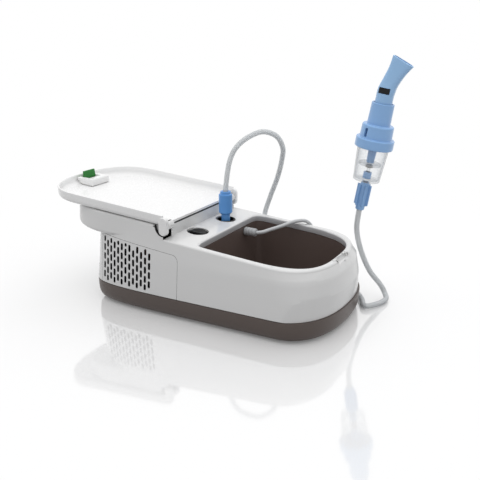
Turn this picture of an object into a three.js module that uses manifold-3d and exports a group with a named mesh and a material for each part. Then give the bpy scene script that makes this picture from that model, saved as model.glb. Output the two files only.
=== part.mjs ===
// Tabletop compressor nebulizer: housing with an open storage bay, folded-back lid,
// compressor, air tube and hand set. Millimetres, +Z up, +X towards the storage bay.
import * as THREE from 'three';
import { mergeVertices } from 'three/addons/utils/BufferGeometryUtils.js';
import Module from 'manifold-3d';

const wasm = await Module();
wasm.setup();

// ---------------------------------------------------------------- dimensions
const GAP = 0.3;                 // clearance between neighbouring pieces
const WALL = 2.6;                // housing wall
const SEG = 48;                  // points round the plan outline
const FOOT_H = 2.2;              // rubber foot below the base
const BASE_Z = 2.5;              // underside of the base
const PART_Z = 22.9;             // parting line between base and housing
const DECK_Z = 84.3;             // deck height at the hinge line
const TOP_Z = 97.15;             // rear top height at the hinge line
const SLOPE = 0.083;             // fall of deck and top towards the bay end
const HINGE_X = -37.5;           // lid hinge line
const HINGE_Z = 97.45;
const LID_D = 11.6;              // depth of the lid
const EAR_IN = 71.0, EAR_OUT = 76.0, EAR_R = 5.0, EAR_H = 19.6;
const PIN_R = 2.5;
const BAY_FLOOR = 12;            // underside of the storage bay tub
const SWITCH = [-23.8, -29.4];
const OUTLET = [-22, 28];
const TUBE_R = 2.9, TUBE_BORE = 1.9;
const CORD_R = 2.1;
const VENT_PITCH = 5.3, VENT_W = 3.0, VENT_H = 7.8, VENT_ROW = 10, VENT_TOP = 70.6;
const HAND_BASE = [127.3, 55, 107.5];   // foot of the hand set
const HAND_TILT = 9.456 * Math.PI / 180; // lean towards +X
const BLADE_BEND = 19.4 * Math.PI / 180;
const MOTOR_Y = -6, MOTOR_Z = 48;

// plan outlines: a front and a rear superellipse half joined at xc
const BASE = { xc: 89.46, af: 51.7, nf: 2.4, ar: 230.6, nr: 7.5, b: 82 };
const RIM = { xc: 79.14, af: 52.3, nf: 2.44, ar: 215.34, nr: 7.5, b: 75.6 };
const BAY = { xc: 50.44, af: 73.6, nf: 3.19, ar: 53.3, nr: 14, b: 67.8 };
const REAR = { xc: -60, af: 70, nf: 8, ar: 111, nr: 4.6, b: 76.2 };

const deck = (x) => DECK_Z - SLOPE * (x - HINGE_X);
const top = (x) => TOP_Z - SLOPE * (x - HINGE_X);

// ---------------------------------------------------------------- helpers
function solid(geo) {
  let g = geo.clone();
  for (const k of ['normal', 'uv']) if (g.getAttribute(k)) g.deleteAttribute(k);
  g = mergeVertices(g, 1e-4);
  return new wasm.Manifold(new wasm.Mesh({
    numProp: 3,
    vertProperties: new Float32Array(g.getAttribute('position').array),
    triVerts: new Uint32Array(g.index.array),
  }));
}
function geometry(m) {
  const mesh = m.getMesh();
  const g = new THREE.BufferGeometry();
  g.setAttribute('position', new THREE.BufferAttribute(new Float32Array(mesh.vertProperties), 3));
  g.setIndex(new THREE.BufferAttribute(new Uint32Array(mesh.triVerts), 1));
  g.computeVertexNormals();
  return g;
}
const join = (first, ...rest) => rest.reduce((a, b) => a.add(b), first);
const cut = (first, ...rest) => rest.reduce((a, b) => a.subtract(b), first);

function ring(o, inset, z, seg = SEG) {
  const pts = [];
  for (let i = 0; i < seg; i++) {
    const t = (2 * Math.PI * i) / seg, c = Math.cos(t), s = Math.sin(t);
    const n = c >= 0 ? o.nf : o.nr, a = (c >= 0 ? o.af : o.ar) - inset;
    const cc = Math.abs(c) < 1e-9 ? 0 : c, ss = Math.abs(s) < 1e-9 ? 0 : s;
    const x = o.xc + a * Math.sign(cc) * Math.abs(cc) ** (2 / n);
    const y = (o.b - inset) * Math.sign(ss) * Math.abs(ss) ** (2 / n);
    pts.push([x, y, typeof z === 'function' ? z(x) : z]);
  }
  return pts;
}
// closed skin through rings of equal count, lowest ring first
function loft(rings) {
  const n = rings[0].length, pos = [], idx = [];
  for (const r of rings) for (const p of r) pos.push(...p);
  for (let k = 0; k + 1 < rings.length; k++) for (let i = 0; i < n; i++) {
    const a = k * n + i, b = k * n + ((i + 1) % n), c = b + n, d = a + n;
    idx.push(a, b, c, a, c, d);
  }
  for (const [k, up] of [[0, false], [rings.length - 1, true]]) {
    const m = [0, 0, 0];
    for (const p of rings[k]) for (let j = 0; j < 3; j++) m[j] += p[j] / n;
    const ci = pos.length / 3;
    pos.push(...m);
    for (let i = 0; i < n; i++) {
      const a = k * n + i, b = k * n + ((i + 1) % n);
      if (up) idx.push(a, b, ci); else idx.push(b, a, ci);
    }
  }
  const g = new THREE.BufferGeometry();
  g.setAttribute('position', new THREE.Float32BufferAttribute(pos, 3));
  g.setIndex(idx);
  return g;
}
const shapeOf = (pts) => new THREE.Shape(pts.map((p) => new THREE.Vector2(p[0], p[1])));
// outline in X and Z, swept from y0 to y1
function prismXZ(pts, y0, y1) {
  const g = new THREE.ExtrudeGeometry(shapeOf(pts), { depth: y1 - y0, bevelEnabled: false, steps: 1, curveSegments: 6 });
  g.rotateX(Math.PI / 2);
  g.translate(0, y1, 0);
  return g;
}
function box(x0, x1, y0, y1, z0, z1) {
  const g = new THREE.BoxGeometry(x1 - x0, y1 - y0, z1 - z0);
  g.translate((x0 + x1) / 2, (y0 + y1) / 2, (z0 + z1) / 2);
  return g;
}
// axis along +Z from z0 to z1
function rod(r, z0, z1, x = 0, y = 0, seg = 24) {
  const g = new THREE.CylinderGeometry(r, r, z1 - z0, seg);
  g.rotateX(Math.PI / 2);
  g.translate(x, y, (z0 + z1) / 2);
  return g;
}
function rodY(r, y0, y1, x, z, seg = 24) {
  const g = new THREE.CylinderGeometry(r, r, y1 - y0, seg);
  g.translate(x, (y0 + y1) / 2, z);
  return g;
}
function rodX(r, x0, x1, y, z, seg = 24) {
  const g = new THREE.CylinderGeometry(r, r, x1 - x0, seg);
  g.rotateZ(-Math.PI / 2);
  g.translate((x0 + x1) / 2, y, z);
  return g;
}
// turned piece about +Z; the profile is a closed run of [radius, z]
function turned(profile, seg = 24) {
  const pts = profile.map((p) => new THREE.Vector2(p[0], p[1]));
  if (profile[0][0] > 1e-6 || profile[profile.length - 1][0] > 1e-6) pts.push(pts[0].clone());
  const g = new THREE.LatheGeometry(pts, seg);
  g.rotateX(Math.PI / 2);
  return g;
}
function outward(g) {
  // signed volume decides whether the faces have to be turned over
  const m = mergeVertices((() => { const q = g.clone(); q.deleteAttribute('normal'); if (q.getAttribute('uv')) q.deleteAttribute('uv'); return q; })(), 1e-4);
  const p = m.getAttribute('position'), ix = m.index.array;
  const a = new THREE.Vector3(), b = new THREE.Vector3(), c = new THREE.Vector3();
  let v = 0;
  const tri = [];
  for (let i = 0; i < ix.length; i += 3) {
    const [i0, i1, i2] = [ix[i], ix[i + 1], ix[i + 2]];
    if (i0 === i1 || i1 === i2 || i0 === i2) continue;
    a.fromBufferAttribute(p, i0); b.fromBufferAttribute(p, i1); c.fromBufferAttribute(p, i2);
    v += a.dot(b.clone().cross(c));
    tri.push([i0, i1, i2]);
  }
  m.setIndex(tri.flatMap((t) => (v < 0 ? [t[0], t[2], t[1]] : t)));
  m.computeVertexNormals();
  return m;
}
const lathe = (profile, seg) => outward(turned(profile, seg));
function pipe(points, ro, ri, steps, around) {
  const curve = new THREE.CatmullRomCurve3(points.map((p) => new THREE.Vector3(...p)), false, 'centripetal');
  const circle = (r, n) => Array.from({ length: n }, (_, i) => new THREE.Vector2(r * Math.cos(2 * Math.PI * i / n), r * Math.sin(2 * Math.PI * i / n)));
  const shape = new THREE.Shape(circle(ro, around));
  if (ri > 0) shape.holes.push(new THREE.Path(circle(ri, around - 3).reverse()));
  const g = new THREE.ExtrudeGeometry(shape, { steps, extrudePath: curve, bevelEnabled: false });
  return outward(g);
}
const capsule = (w, h, n, cx, cz) => {
  const pts = [], r = w / 2, s = h / 2 - r;
  for (let i = 0; i <= n; i++) { const t = Math.PI * i / n; pts.push([cx + r * Math.cos(t), cz + s + r * Math.sin(t)]); }
  for (let i = 0; i <= n; i++) { const t = Math.PI + Math.PI * i / n; pts.push([cx + r * Math.cos(t), cz - s + r * Math.sin(t)]); }
  return pts;
};

// ---------------------------------------------------------------- materials
const mat = (color, roughness, metalness = 0, extra = {}) => new THREE.MeshStandardMaterial({ color, roughness, metalness, ...extra });
const WHITE = mat(0xe2e4e6, 0.28), TAUPE = mat(0x695d57, 0.55), BROWN = mat(0x584a46, 0.5);
const BLACK = mat(0x141416, 0.35), GREEN = mat(0x12731e, 0.4), BLUE = mat(0x5078b9, 0.4);
const SKY = mat(0x8caCe4, 0.4), PALE = mat(0xb4caec, 0.4), CORD = mat(0xc4c6c8, 0.55);
const CLEAR = mat(0xe6ecf0, 0.12, 0, { transparent: true, opacity: 0.4 });
const TUBING = mat(0xdfe4e6, 0.3, 0, { transparent: true, opacity: 0.7 });
const STEEL = mat(0x9a9ca0, 0.35, 0.9), RUBBER = mat(0x222224, 0.8), ALU = mat(0xb6b8bc, 0.4, 0.8);
const COIL = mat(0x8a4b22, 0.45, 0.6);

const root = new THREE.Group();
const frame = new THREE.Group();
root.add(frame);
function put(name, geo, material, parent = frame) {
  const m = new THREE.Mesh(geo, material);
  m.name = name;
  parent.add(m);
  return m;
}

// ---------------------------------------------------------------- base
{
  let b = solid(loft([
    ring(BASE, 5.6, BASE_Z), ring(BASE, 2.9, BASE_Z + 1.6),
    ring(BASE, 0.7, BASE_Z + 7), ring(BASE, 0, PART_Z)]));
  b = cut(b, solid(loft([ring(BASE, 5.6, 6), ring(BASE, WALL, PART_Z + 2)])));
  const screws = [[-112, 56], [-112, -56], [-14, 64], [-14, -64]];
  for (const [x, y] of screws) {
    b = b.add(solid(rod(6, 5, 11.6, x, y, 12)));
    b = cut(b, solid(rod(2.1, 0, 14, x, y, 10)), solid(rod(3.9, 0, 7.8, x, y, 12)));
  }
  const feet = [[-112, 38], [-112, -38], [92, 50], [92, -50]];
  for (const [x, y] of feet) b = cut(b, solid(rod(3.1, 0, 8, x, y, 10)));
  // slots for cooling air in the floor under the motor
  for (let i = 0; i < 5; i++) b = cut(b, solid(box(-100 + i * 9, -96 + i * 9, -22, 14, 0, 8)));
  put('base_tray', geometry(b), TAUPE);
  feet.forEach(([x, y], i) => {
    const g = lathe([[0, 0], [7.2, 0], [8, 0.6], [8, FOOT_H], [2.7, FOOT_H], [2.7, 5.4], [0, 5.4]], 14);
    g.translate(x, y, 0);
    put(`foot_${i + 1}`, g, RUBBER);
  });
  screws.forEach(([x, y], i) => {
    const g = lathe([[0, 5.0], [3.0, 5.0], [3.4, 5.4], [3.4, 7.5], [1.5, 7.5], [1.5, 21], [0, 22]], 10);
    g.translate(x, y, 0);
    put(`base_screw_${i + 1}`, g, STEEL);
  });
}

// ---------------------------------------------------------------- housing
const rearUnder = [[-109, 79], [-135, 80.2], [-152, 82.2], [-163, 84.8], [-177, 90.5]];
const mainOuter = solid(loft([
  ring(BASE, 0.1, PART_Z + GAP), ring(BASE, 1.9, 43), ring({ ...RIM, xc: 83, af: 53, ar: 221, b: 78.4 }, 0, 62),
  ring(RIM, 0, (x) => deck(x) - 2.4), ring(RIM, 0.7, (x) => deck(x) - 0.7), ring(RIM, 2.2, deck)]));
const mainInner = solid(loft([
  ring(BASE, 0.1 + WALL, PART_Z - 3), ring(BASE, 1.9 + WALL, 43), ring({ ...RIM, xc: 83, af: 53, ar: 221, b: 78.4 }, WALL, 62),
  ring(RIM, WALL + 0.6, (x) => deck(x) - 2.9)]));
const rearOuter = solid(loft([
  ring(REAR, -1.9, 60), ring(REAR, 1.2, (x) => top(x) - 2.4), ring(REAR, 1.9, (x) => top(x) - 0.7), ring(REAR, 3.4, top)]))
  .intersect(solid(prismXZ([...rearUnder, [-177, 125], [HINGE_X, 125], [HINGE_X, 60], [-109, 60]], -100, 100)));
const rearInner = solid(loft([
  ring(REAR, 1.1, 38), ring(REAR, 4.6, (x) => top(x) - 3.0)]))
  .intersect(solid(prismXZ([[-106, 82.4], [-134.5, 83.4], [-151, 85.4], [-162, 88.2], [-167, 90.2], [-167, 125], [HINGE_X - WALL, 125], [HINGE_X - WALL, 38], [-106, 38]], -100, 100)));
let house = join(mainOuter, rearOuter);
house = cut(house, mainInner, rearInner);

// hinge boss and knuckle at each end of the hinge line
for (const s of [1, -1]) {
  const y = (a, b) => (s > 0 ? [a, b] : [-b, -a]);
  const boss = solid(rodY(14, ...y(59.7, 76), HINGE_X, HINGE_Z, 20)).intersect(rearOuter);
  house = house.add(boss);
  house = house.add(solid(rodY(4.6, ...y(60, EAR_IN - GAP), HINGE_X, HINGE_Z, 20)));
  house = cut(house,
    solid(rodY(10.8, ...y(EAR_IN - GAP, 90), HINGE_X, HINGE_Z, 24)),
    solid(rodY(PIN_R + GAP, ...y(61.2, 90), HINGE_X, HINGE_Z, 14)));
}
// screw posts
for (const [x, y, z1] of [[-112, 56, top(-112) - 1.5], [-112, -56, top(-112) - 1.5], [-14, 64, deck(-14) - 1.5], [-14, -64, deck(-14) - 1.5]]) {
  house = house.add(solid(rod(4.5, 12, z1, x, y, 12)));
  house = cut(house, solid(rod(1.9, 10, 26, x, y, 8)));
}
// storage bay mouth with its inner lip
const lip = solid(loft([ring(BAY, -2.0, (x) => deck(x) - 7), ring(BAY, -2.0, (x) => deck(x) - 1)]));
const notchBlock = solid(box(122, 133, -17, 17, 56, 80)).intersect(mainOuter);
house = join(house, lip, notchBlock);
house = cut(house,
  solid(loft([ring(BAY, 0, 50), ring(BAY, 0, 120)])),
  solid(loft([ring(BAY, -2.3, 30), ring(BAY, -2.3, (x) => deck(x) - 7)])),
  solid(box(127.4, 140, -13.5, 13.5, deck(130) - 3.2, 90)),
  solid(rod(11.9, 60, 120, ...SWITCH, 24)),
  solid(rod(11.4, 60, 120, ...OUTLET, 24)));

// vent panels let into both side walls
const panelShape = (i) => {
  const x0 = -123 + i, x1 = -18.5 - i, z1 = 70.3 - i, r = 8 - i, pts = [[x0, 15], [x1, 15]];
  for (let k = 0; k <= 4; k++) { const t = (Math.PI / 2) * k / 4; pts.push([x1 - r + r * Math.cos(t), z1 - r + r * Math.sin(t)]); }
  pts.push([x0, z1 + SLOPE * (x1 - x0)]);
  return pts;
};
const skin = cut(mainOuter, mainInner);
for (const [name, s, cols] of [['vent_panel_near', -1, 13], ['vent_panel_far', 1, 5]]) {
  const y = s > 0 ? [63, 100] : [-100, -63];
  house = cut(house, solid(prismXZ(panelShape(0), ...y)));
  let p = skin.intersect(solid(prismXZ(panelShape(GAP), ...y)));
  let slots = null;
  for (let k = 0; k < cols; k++) {
    const x = -54 - VENT_PITCH * k;
    const rows = k % 2 ? [[29.6, 6.6], [38.3, VENT_H], [48.3, VENT_H], [58.3, VENT_H]] : [[33.3, VENT_H], [43.3, VENT_H], [53.3, VENT_H], [63.3, VENT_H]];
    // the top of the pattern follows the fall of the deck
    const limit = VENT_TOP + SLOPE * (-54 - x);
    for (let z0 = (k % 2 ? 58.3 : 63.3) + VENT_ROW - VENT_H / 2; limit - z0 > VENT_W; z0 += VENT_ROW) {
      const h = Math.min(VENT_H, limit - z0);
      rows.push([z0 + h / 2, h]);
    }
    for (const [z, h] of rows) {
      const c = solid(prismXZ(capsule(VENT_W, h, 2, x, z), ...y));
      slots = slots ? slots.add(c) : c;
    }
  }
  p = cut(p, slots);
  put(name, geometry(p), WHITE);
}
put('upper_housing', geometry(house), WHITE);

// ---------------------------------------------------------------- storage bay tub
{
  let t = solid(loft([ring(BAY, 5, BAY_FLOOR), ring(BAY, 1.2, BAY_FLOOR + 3.5), ring(BAY, -2.0, (x) => deck(x) - 7 - GAP)]));
  t = cut(t, solid(loft([ring(BAY, 7, BAY_FLOOR + 2), ring(BAY, 3.2, BAY_FLOOR + 5.5), ring(BAY, 0, (x) => deck(x) - 7 + 4)])));
  t = cut(t, solid(rodX(4.1, -12, 4, 38.5, 68.5, 14)));
  put('storage_bay_tub', geometry(t), BROWN);
}

// ---------------------------------------------------------------- lid, drawn closed and swung open
const lid = new THREE.Group();
lid.position.set(HINGE_X, 0, HINGE_Z);
lid.rotation.y = Math.PI;
frame.add(lid);
const fromHinge = (g) => { g.translate(-HINGE_X, 0, -HINGE_Z); return g; };
{
  const half = solid(prismXZ([[HINGE_X + GAP, 40], [200, 40], [200, 130], [HINGE_X + GAP, 130]], -100, 100));
  let l = solid(loft([
    ring(RIM, 0.9, (x) => top(x) - LID_D), ring(RIM, 0.3, (x) => top(x) - LID_D + 1),
    ring(RIM, 0.5, (x) => top(x) - 4), ring(RIM, 1.5, (x) => top(x) - 1.2), ring(RIM, 4, top)])).intersect(half);
  l = cut(l, solid(loft([
    ring(RIM, 2.2, (x) => top(x) - LID_D - 3), ring(RIM, 2.6, (x) => top(x) - LID_D + 1),
    ring(RIM, 4.2, (x) => top(x) - 5.2), ring(RIM, 8.5, (x) => top(x) - 2.4)])));
  for (const s of [1, -1]) {
    const y = (a, b) => (s > 0 ? [a, b] : [-b, -a]);
    l = cut(l, solid(rodY(5.2, ...y(59.4, EAR_IN), HINGE_X, HINGE_Z, 20)));
    l = l.add(solid(prismXZ(capsule(EAR_R * 2, EAR_H, 6, HINGE_X, HINGE_Z - 0.3), ...y(EAR_IN, EAR_OUT))));
    l = cut(l, solid(rodY(PIN_R + GAP, ...y(EAR_IN - 1, 74.6), HINGE_X, HINGE_Z, 14)));
  }
  put('lid_shell', fromHinge(geometry(l)), WHITE, lid);

  const zb = top(117) - 2.4 - GAP;
  let h = solid(prismXZ([[104, zb + 0.9], [120.5, zb - 0.6], [125.4, zb - 4.6], [126.0, zb - 8], [105, zb - 7.2], [104, zb - 6]], -15.5, 15.5));
  h = cut(h, solid(box(112, 128, -9.9, 9.9, zb - 12, zb - 5)));
  put('latch_housing', fromHinge(geometry(h)), WHITE, lid);
  let k = solid(prismXZ([[119.4, zb - 5.4], [124.8, zb - 5.4], [124.8, zb - 7.6], [122.6, zb - 8.4], [122.6, zb - 14.5], [120.4, zb - 14.5], [119.4, zb - 8.4]], -9.5, 9.5));
  put('latch_button', fromHinge(geometry(k)), GREEN, lid);
}
for (const [name, y0, y1] of [['hinge_pin_near', -74.3, -61.5], ['hinge_pin_far', 61.5, 74.3]])
  put(name, rodY(PIN_R, y0, y1, HINGE_X, HINGE_Z, 14), STEEL);

// ---------------------------------------------------------------- rocker switch, square to the sloping deck
{
  const sw = new THREE.Group();
  sw.position.set(SWITCH[0], SWITCH[1], deck(SWITCH[0]));
  sw.rotation.y = Math.atan(SLOPE);
  frame.add(sw);
  put('switch_bezel', lathe([[10.2, -1.8], [11.5, -1.8], [11.5, -14], [10.2, -14], [10.2, -1.8]].slice(0, 4), 24), BLACK, sw);
  let r = solid(rod(9.2, -9, 5, 0, 0, 24)).intersect(solid((() => {
    const g = prismXZ([[-10, 1.3], [0, -0.9], [10, 1.3], [10, -5.4], [-10, -5.4]], -10, 10);
    g.rotateZ(Math.PI / 2);
    return g;
  })()));
  const g = geometry(r);
  g.translate(0, 0, 1.6);
  g.rotateX(-6 * Math.PI / 180);
  g.translate(0, 0, -1.6);
  put('rocker_switch', g, BLACK, sw);
}

// ---------------------------------------------------------------- air outlet and plug
{
  const s = lathe([[1.3, 72], [2.4, 72], [2.4, 76], [11, 76], [11, 83.0], [9.4, 83.0], [9.4, 78], [2.4, 78], [2.2, 95], [1.3, 95]], 20);
  s.translate(OUTLET[0], OUTLET[1], 0);
  put('outlet_socket', s, BLACK);
}
const set = new THREE.Group();
frame.add(set);
{
  const p = lathe([[2.8, 79.6], [5, 79.6], [5, 88.6], [7.75, 91.2], [7.75, 112], [6.2, 112.6], [6.0, 115.5], [3.2, 115.5], [3.2, 104.2], [1.4, 102.6], [1.4, 98], [2.8, 96.5]], 16);
  p.translate(OUTLET[0], OUTLET[1], 0);
  put('tube_plug', p, BLUE, set);
}
const hx = Math.sin(HAND_TILT), hz = Math.cos(HAND_TILT);
const hp = (d) => [HAND_BASE[0] + hx * d, HAND_BASE[1], HAND_BASE[2] + hz * d];
const tubePath = [
  [OUTLET[0], OUTLET[1], 104.8], [OUTLET[0], OUTLET[1], 116], [-18, 32, 151.5], [-11, 36, 166.5], [0, 45, 177], [11.4, 55, 181.4],
  [22.8, 66, 175.7], [27, 74, 161.7], [23.4, 80, 147], [15.3, 86, 124], [4.4, 90.4, 99.3], [-4.3, 93, 74.4], [-6, 94, 40], [-4, 94, 14],
  [8, 92.8, 4.6], [30, 91, 3.4], [60, 89.6, 3.4], [88, 88.6, 3.4], [105, 86.4, 3.4], [116, 80.6, 3.4], [125, 72.5, 3.4], [132.6, 62, 3.4],
  [137.8, 51.6, 3.4], [141.3, 43.6, 3.4], [145.6, 42.4, 3.4], [151, 49, 3.4], [157, 62, 3.4], [157.4, 75, 3.7], [153.8, 80.6, 6.8], [149.5, 80, 14.7],
  [137.5, 72, 33.2], [128.2, 64, 59.4], [124.6, 57.8, 83.4], hp(-4), hp(9.4)];
put('air_tube', pipe(tubePath, TUBE_R, TUBE_BORE, 80, 8), TUBING, set);

// ---------------------------------------------------------------- hand set, along its own axis
const hand = new THREE.Group();
hand.position.set(...HAND_BASE);
hand.rotation.y = HAND_TILT;
set.add(hand);
{
  let c = solid(lathe([[3.2, 0], [4.6, 0], [4.9, 3], [5.2, 27], [4.2, 30.5], [2.9, 30.5], [2.9, 12], [1.3, 10.6], [1.3, 10.4], [3.2, 10]], 14));
  for (let i = 0; i < 6; i++) {
    const f = prismXZ([[3.9, 4], [7.6, 5.2], [7.6, 27.5], [4.0, 27.5]], -0.8, 0.8);
    f.rotateZ(Math.PI * i / 3);
    c = c.add(solid(f));
  }
  put('cup_connector', geometry(c), SKY, hand);

  put('nebulizer_cup', lathe([
    [1.2, 17.8], [2.5, 17.8], [2.5, 32.6], [13.9, 32.6], [16.3, 67.0], [17.2, 67.0], [17.2, 68.4], [15.1, 68.4], [12.8, 34.4], [2.3, 34.4], [1.8, 46], [1.2, 46]], 20), CLEAR, hand);
  put('jet_nozzle', lathe([[2.7, 34.8], [4.4, 34.8], [4.2, 41.5], [2.7, 41.5]], 14), SKY, hand);
  put('baffle_ring', lathe([[2.3, 46.4], [3.8, 46.4], [3.8, 49], [11.8, 49], [11.8, 51.4], [2.3, 51.4]], 18), mat(0xb8b0a0, 0.5), hand);
  put('baffle_stem', lathe([[0, 51.8], [3.9, 51.8], [4.6, 68.2], [0, 68.2]], 14), SKY, hand);

  let k = solid(lathe([
    [17.6, 68.0], [19.5, 68.0], [19.75, 69], [19.75, 77.2], [19.2, 78], [16.6, 78], [16.2, 90.8], [15.4, 92], [11.9, 92], [11.5, 114], [9.7, 114], [9.7, 91.6], [14, 89.8], [14.4, 71], [17.6, 71]], 24));
  k = cut(k, solid((() => { const g = box(-1.7, 1.7, -24, -12, 79.5, 88.5); g.rotateZ(-25 * Math.PI / 180); return g; })()));
  put('nebulizer_cap', geometry(k), SKY, hand);

  // mouthpiece: round spigot, valve neck, then a flat blade leaning further over
  const oval = (cx, w, d, z, lean, n = 20) => {
    const pts = [];
    for (let i = 0; i < n; i++) {
      const t = 2 * Math.PI * i / n, c = Math.cos(t), s = Math.sin(t), e = d < 7.5 ? 3.2 : 2;
      const x = w * Math.sign(c) * Math.abs(c) ** (2 / e), y = d * Math.sign(s) * Math.abs(s) ** (2 / e);
      pts.push([cx + x * Math.cos(lean), y, z - x * Math.sin(lean)]);
    }
    return pts;
  };
  const B = BLADE_BEND, st = (d) => [Math.sin(B) * d, 128 + Math.cos(B) * d];
  const outer = [oval(0, 9.2, 9.2, 100, 0), oval(0, 8.8, 8.8, 120, 0), oval(0.3, 8.9, 8.4, 126, B / 2)];
  const inner = [oval(0, 7.6, 7.6, 97, 0), oval(0, 7.4, 7.4, 120, 0), oval(0.3, 7.4, 6.9, 126, B / 2)];
  for (const [d, w, t] of [[8, 7.9, 6.3], [20, 8.7, 4.9], [31, 11.6, 4.3]]) {
    const [x, z] = st(d);
    outer.push(oval(x, w, t, z, B));
    inner.push(oval(x, w - 1.5, t - 1.5, z, B));
  }
  { const [x, z] = st(34); inner.push(oval(x, 10.4, 2.9, z, B)); }
  let m = cut(solid(loft(outer)), solid(loft(inner)));
  m = cut(m, solid(box(-5.8, 5.8, -12, -3.8, 123.6, 129.6)));
  put('mouthpiece', geometry(m), PALE, hand);
  const v = box(-5.4, 5.4, -7.6, -7.0, 124.0, 129.2);
  put('exhale_valve_flap', v, BLACK, hand);
}

// ---------------------------------------------------------------- mains cord with its strain relief
{
  const prof = [[2.4, -8.5], [5.6, -8.5], [5.6, -5.9], [3.8, -5.9], [3.8, -2.0]];
  for (let i = 0; i < 4; i++) { const x = -2.0 + i * 3.6; prof.push([4.9 - i * 0.12, x], [4.9 - i * 0.12, x + 2.4], [4.1, x + 2.4], [4.1, x + 3.6]); }
  prof.push([2.4, 12.4]);
  const g = lathe(prof, 14);
  g.rotateY(Math.PI / 2);
  g.translate(0, 38.5, 68.5);
  put('cord_boot', g, CORD);
  put('power_cord', pipe([
    [-26, 38.5, 68.5], [-8.5, 38.5, 68.5], [4, 38.5, 68.5], [12.6, 38.6, 68.6], [19, 40, 69.6], [26.3, 45, 72.2], [37, 52.6, 76], [45, 60.5, 79.2],
    [50.4, 66, 80.6], [57.4, 72.4, 80.2], [61.4, 78.4, 75.2], [62.7, 82.6, 67.2], [62.9, 88, 52], [62.5, 93.5, 36], [61.5, 97.5, 22], [60, 99.8, 9], [56, 102, 2.7],
    [44, 106, 2.6], [24, 108.8, 2.6]], CORD_R, 0, 40, 8), CORD);
}

// ---------------------------------------------------------------- compressor inside the rear of the housing
{
  const y = MOTOR_Y, z = MOTOR_Z;
  let b = solid(box(-118, -50, y - 30, y + 30, 16.2, 19.2));
  for (const x of [-112, -84]) b = b.add(solid(box(x, x + 5, y - 24, y + 24, 18.5, z))); // two cradles
  b = cut(b, solid(rodX(23.6, -125, -70, y, z, 24)), solid(rodX(5.5, -90, -40, y, z, 12)));
  const mounts = [[-114, y - 26], [-114, y + 26], [-55, y - 26], [-55, y + 26]];
  for (const [mx, my] of mounts) b = cut(b, solid(rod(2.7, 10, 24, mx, my, 10)));
  put('compressor_bracket', geometry(b), STEEL);
  mounts.forEach(([mx, my], i) => {
    const g = lathe([[0, 6.3], [5, 6.3], [4.4, 11], [5, 15.9], [2.3, 15.9], [2.3, 19.5], [0, 19.5]], 10);
    g.translate(mx, my, 0);
    put(`rubber_mount_${i + 1}`, g, RUBBER);
  });
  const along = (g, x) => { g.rotateY(Math.PI / 2); g.translate(x, y, z); return g; };
  put('motor_stator', along(lathe([[13.5, -17], [21, -17], [23, -14], [23, 14], [21, 17], [13.5, 17]], 24), -94), COIL);
  put('motor_shaft', along(lathe([[0, -35], [2.5, -35], [2.5, -17], [13, -15], [13, 15], [2.5, 17], [2.5, 34], [0, 34]], 16), -94), STEEL);
  let f = solid(along(lathe([[2.8, -4], [7, -4], [7, 4], [2.8, 4]], 16), -121.5));
  for (let i = 0; i < 6; i++) {
    const g = box(-3, 3, -1, 1, 6, 24);
    g.rotateZ(0.5);
    g.rotateX(Math.PI * i / 3);
    g.translate(-121.5, y, z);
    f = f.add(solid(g));
  }
  put('cooling_fan', geometry(f), BLACK);
  const e = solid(along(lathe([[0, 0], [9, 0], [9, 6], [0, 6]], 20), -66)).add(solid(rodX(2.5, -61, -55, y + 5, z, 12)));
  put('crank_disc', geometry(cut(e, solid(rodX(2.8, -70, -57, y, z, 14)))), STEEL);

  // piston and rod above the crank, in a finned cylinder
  const cx = -60;
  let c = solid(lathe([[8.3, 68], [13, 68], [13, 71], [11, 71], [11, 73], [13, 73], [13, 76], [11, 76], [11, 78], [13, 78], [13, 84], [8.3, 84]], 18));
  put('compressor_cylinder', (() => { const g = geometry(c); g.translate(cx, y, 0); return g; })(), ALU);
  put('piston_and_rod', (() => {
    const g = geometry(join(solid(rod(7.9, 73, 79, 0, 0, 18)), solid(rod(2.6, 60.5, 74, 0, 0, 12))));
    g.translate(cx, y, 0); return g;
  })(), ALU);
  put('cylinder_head', (() => {
    let h = solid(rod(13.5, 84.3, 91, 0, 0, 18));
    h = cut(h, solid(rod(6.5, 80, 88.5, 0, 0, 14)), solid(rodY(1.6, 0, 20, 0, 86.4, 12)));
    const g = geometry(h); g.translate(cx, y, 0); return g;
  })(), ALU);
  put('internal_air_hose', pipe([[cx, y + 14, 86.4], [cx, y + 18, 86.2], [cx + 4, y + 26, 80], [-44, 24, 66], [-30, 28, 60], [-22.6, 28.2, 64], [-22, 28, 68], [-22, 28, 71.6]], 2.6, 1.3, 14, 8), RUBBER);
}

// ---------------------------------------------------------------- origin at the middle of the footprint
root.updateMatrixWorld(true);
const bounds = new THREE.Box3().setFromObject(root, true);
frame.position.set(-(bounds.min.x + bounds.max.x) / 2, -(bounds.min.y + bounds.max.y) / 2, -bounds.min.z);
root.updateMatrixWorld(true);

export default root;
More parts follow.
